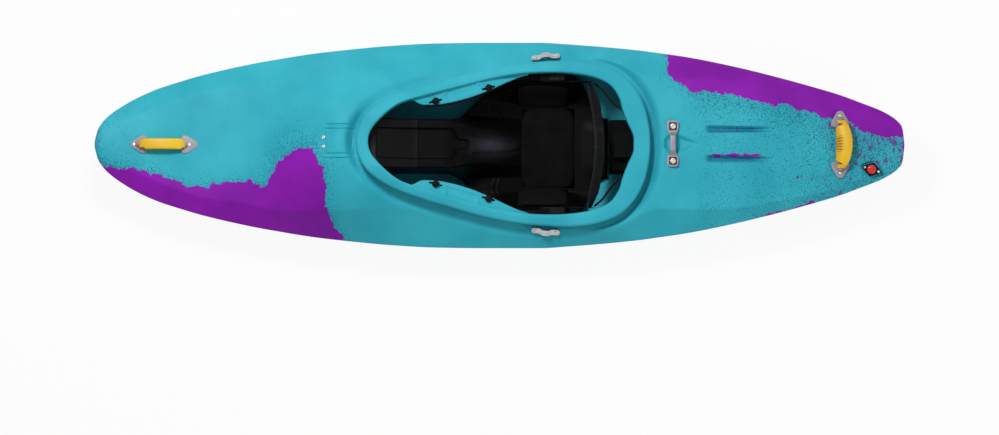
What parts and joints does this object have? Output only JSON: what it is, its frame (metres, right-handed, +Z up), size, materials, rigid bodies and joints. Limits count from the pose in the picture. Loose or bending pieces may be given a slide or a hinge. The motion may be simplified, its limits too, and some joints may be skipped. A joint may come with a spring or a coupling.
{
  "type": "whitewater kayak",
  "caption": "short whitewater kayak with a keyhole cockpit, rockered planing hull, raised bow deck, grab handles, seat, back band, thigh braces and footrest",
  "frame": {"origin": "on the ground below the middle of the hull, at the bottom centre of its box", "axes": "X along the hull with the bow at -X and the stern at +X, Y to starboard, Z up"},
  "size_m": [2.4, 0.611, 0.325],
  "materials": {
    "hull_plastic": "rotomoulded polyethylene, teal with purple bow and stern, faintly dimpled",
    "yellow_rubber": "moulded yellow grip",
    "grey_plastic": "grey moulded plate",
    "stainless_steel": "stainless steel fasteners",
    "aluminium": "brushed aluminium",
    "black_plastic": "black moulded plastic",
    "black_foam": "closed-cell foam",
    "black_cord": "braided elastic cord",
    "black_rubber": "soft sealing rubber",
    "red_plastic": "red moulded plug",
    "black_fabric": "padded woven fabric"
  },
  "bodies": {
    "root": {"hull_shell": "hull_plastic", "bow_handle_plate_front": "grey_plastic", "bow_handle_screw_front": "stainless_steel", "bow_handle_plate_rear": "grey_plastic", "bow_handle_screw_rear": "stainless_steel", "stern_handle_plate_front": "grey_plastic", "stern_handle_screw_front": "stainless_steel", "stern_handle_plate_rear": "grey_plastic", "stern_handle_screw_rear": "stainless_steel", "security_bar": "aluminium", "security_bolt_port": "stainless_steel", "deck_screw_port": "stainless_steel", "broach_bar_port": "aluminium", "broach_screw_port_front": "stainless_steel", "side_bolt_port_front": "stainless_steel", "broach_screw_port_rear": "stainless_steel", "side_bolt_port_rear": "stainless_steel", "footrest_bracket_port": "black_plastic", "ratchet_base_port": "black_plastic", "ladder_strap_port": "black_plastic", "hip_pad_port": "black_foam", "band_cord_port": "black_cord", "security_bolt_starboard": "stainless_steel", "deck_screw_starboard": "stainless_steel", "broach_bar_starboard": "aluminium", "broach_screw_starboard_front": "stainless_steel", "side_bolt_starboard_front": "stainless_steel", "broach_screw_starboard_rear": "stainless_steel", "side_bolt_starboard_rear": "stainless_steel", "footrest_bracket_starboard": "black_plastic", "ratchet_base_starboard": "black_plastic", "ladder_strap_starboard": "black_plastic", "hip_pad_starboard": "black_foam", "band_cord_starboard": "black_cord", "drain_plate": "black_plastic", "front_pillar": "black_plastic", "seat_pan": "black_plastic", "drain_screw_front": "stainless_steel", "drain_screw_rear": "stainless_steel", "bow_pillar": "black_foam", "rear_pillar": "black_foam", "seat_pad": "black_foam"},
    "bow_handle": {"bow_handle_grip": "yellow_rubber"},
    "stern_handle": {"stern_handle_grip": "yellow_rubber"},
    "footrest": {"footrest_plate": "aluminium", "footrest_pad": "black_foam", "footrest_arm_port": "aluminium", "footrest_arm_starboard": "aluminium"},
    "back_support": {"back_band": "black_fabric"},
    "drain_seal": {"drain_gasket": "black_rubber"},
    "drain_cap": {"drain_plug": "red_plastic"},
    "ratchet_port": {"ratchet_lever_port": "black_plastic"},
    "brace_port": {"thigh_brace_port": "black_plastic"},
    "knob_port_front": {"thigh_knob_port_front": "black_plastic"},
    "knob_port_rear": {"thigh_knob_port_rear": "black_plastic"},
    "ratchet_starboard": {"ratchet_lever_starboard": "black_plastic"},
    "brace_starboard": {"thigh_brace_starboard": "black_plastic"},
    "knob_starboard_front": {"thigh_knob_starboard_front": "black_plastic"},
    "knob_starboard_rear": {"thigh_knob_starboard_rear": "black_plastic"}
  },
  "joints": [
    {"name": "bow_handle_swing", "type": "hinge", "parent": "root", "child": "bow_handle", "pos_m": [-1.00001, 0, 0.20615], "axis": [0.9986, 0, -0.0534], "range_deg": [-30, 30]},
    {"name": "stern_handle_swing", "type": "hinge", "parent": "root", "child": "stern_handle", "pos_m": [1.00996, 0, 0.19737], "axis": [0, 1, 0], "range_deg": [-60, 20]},
    {"name": "footrest_slide", "type": "slide", "parent": "root", "child": "footrest", "axis": [1, 0, 0], "range_m": [-0.055, 0.13]},
    {"name": "back_band_tilt", "type": "hinge", "parent": "root", "child": "back_support", "pos_m": [0.2664, 0, 0.176], "axis": [0, 1, 0], "range_deg": [-25, 10]},
    {"name": "drain_lift", "type": "slide", "parent": "root", "child": "drain_seal", "axis": [0, 0, 1], "range_m": [0, 0.006]},
    {"name": "drain_turn", "type": "hinge", "parent": "drain_seal", "child": "drain_cap", "pos_m": [1.1028, -0.07356, 0.18313], "axis": [0, 0, 1], "range_deg": [0, 360]},
    {"name": "ratchet_lever_port_swing", "type": "hinge", "parent": "root", "child": "ratchet_port", "pos_m": [0.191, -0.1987, 0.2009], "axis": [0, 1, 0], "range_deg": [0, 50], "stiffness_Nm_per_rad": 0.02, "springref_deg": -17.19},
    {"name": "thigh_brace_port_slide", "type": "slide", "parent": "root", "child": "brace_port", "axis": [0.9499, -0.2521, -0.1846], "range_m": [-0.017, 0.017]},
    {"name": "thigh_knob_port_front_turn", "type": "hinge", "parent": "brace_port", "child": "knob_port_front", "pos_m": [-0.18927, -0.123, 0.26419], "axis": [0.1908, 0, 0.9816], "continuous": true},
    {"name": "thigh_knob_port_rear_turn", "type": "hinge", "parent": "brace_port", "child": "knob_port_rear", "pos_m": [-0.03253, -0.1646, 0.23373], "axis": [0.1908, 0, 0.9816], "continuous": true},
    {"name": "ratchet_lever_starboard_swing", "type": "hinge", "parent": "root", "child": "ratchet_starboard", "pos_m": [0.191, 0.1987, 0.2009], "axis": [0, 1, 0], "range_deg": [0, 50], "stiffness_Nm_per_rad": 0.02, "springref_deg": -17.19},
    {"name": "thigh_brace_starboard_slide", "type": "slide", "parent": "root", "child": "brace_starboard", "axis": [0.9499, 0.2521, -0.1846], "range_m": [-0.017, 0.017]},
    {"name": "thigh_knob_starboard_front_turn", "type": "hinge", "parent": "brace_starboard", "child": "knob_starboard_front", "pos_m": [-0.18927, 0.123, 0.26419], "axis": [0.1908, 0, 0.9816], "continuous": true},
    {"name": "thigh_knob_starboard_rear_turn", "type": "hinge", "parent": "brace_starboard", "child": "knob_starboard_rear", "pos_m": [-0.03253, 0.1646, 0.23373], "axis": [0.1908, 0, 0.9816], "continuous": true}
  ],
  "couplings": [
    {"joint": "drain_lift", "follows": "drain_turn", "m_per_rad": 0.00079577}
  ]
}
